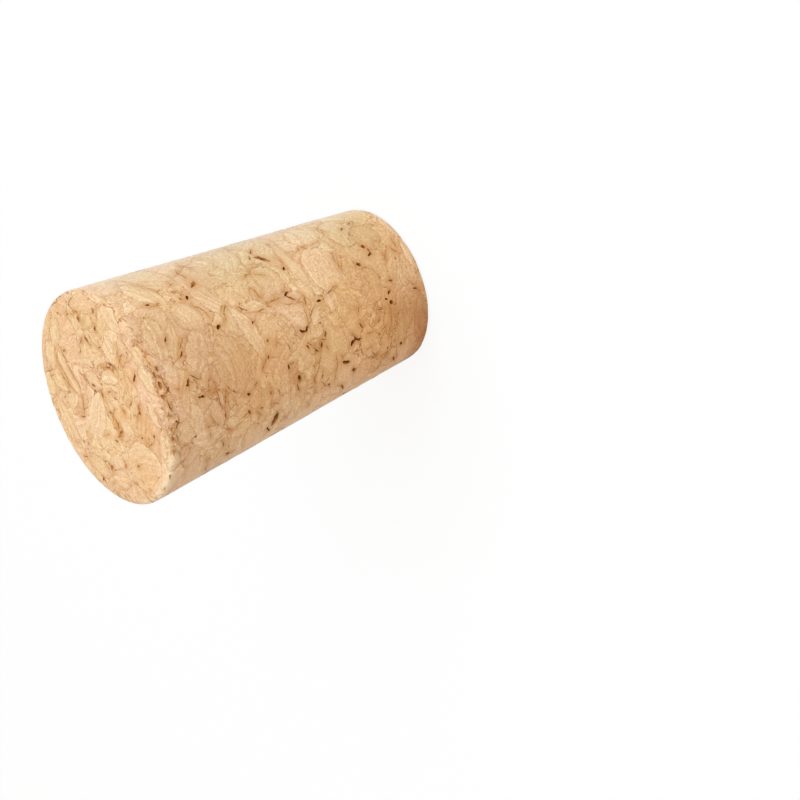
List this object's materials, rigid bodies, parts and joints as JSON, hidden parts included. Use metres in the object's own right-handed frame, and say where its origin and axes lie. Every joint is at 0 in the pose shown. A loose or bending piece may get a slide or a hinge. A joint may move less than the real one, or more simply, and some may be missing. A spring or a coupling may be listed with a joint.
{
  "type": "cork stopper",
  "caption": "Tapered stopper of agglomerated cork, with open crevices between its granules, that plugs the neck of a bottle, flask or jar.",
  "frame": {"origin": "centre of the small end's flat face, which it stands on", "axes": "+Z along the stopper's axis from the small end to the large end; -Y is the front, from which angles go round towards +X"},
  "size_m": [0.0224, 0.0224, 0.035],
  "materials": {
    "cork": "ground agglomerated cork, matt"
  },
  "bodies": {
    "root": {"stopper": "cork"}
  },
  "joints": []
}
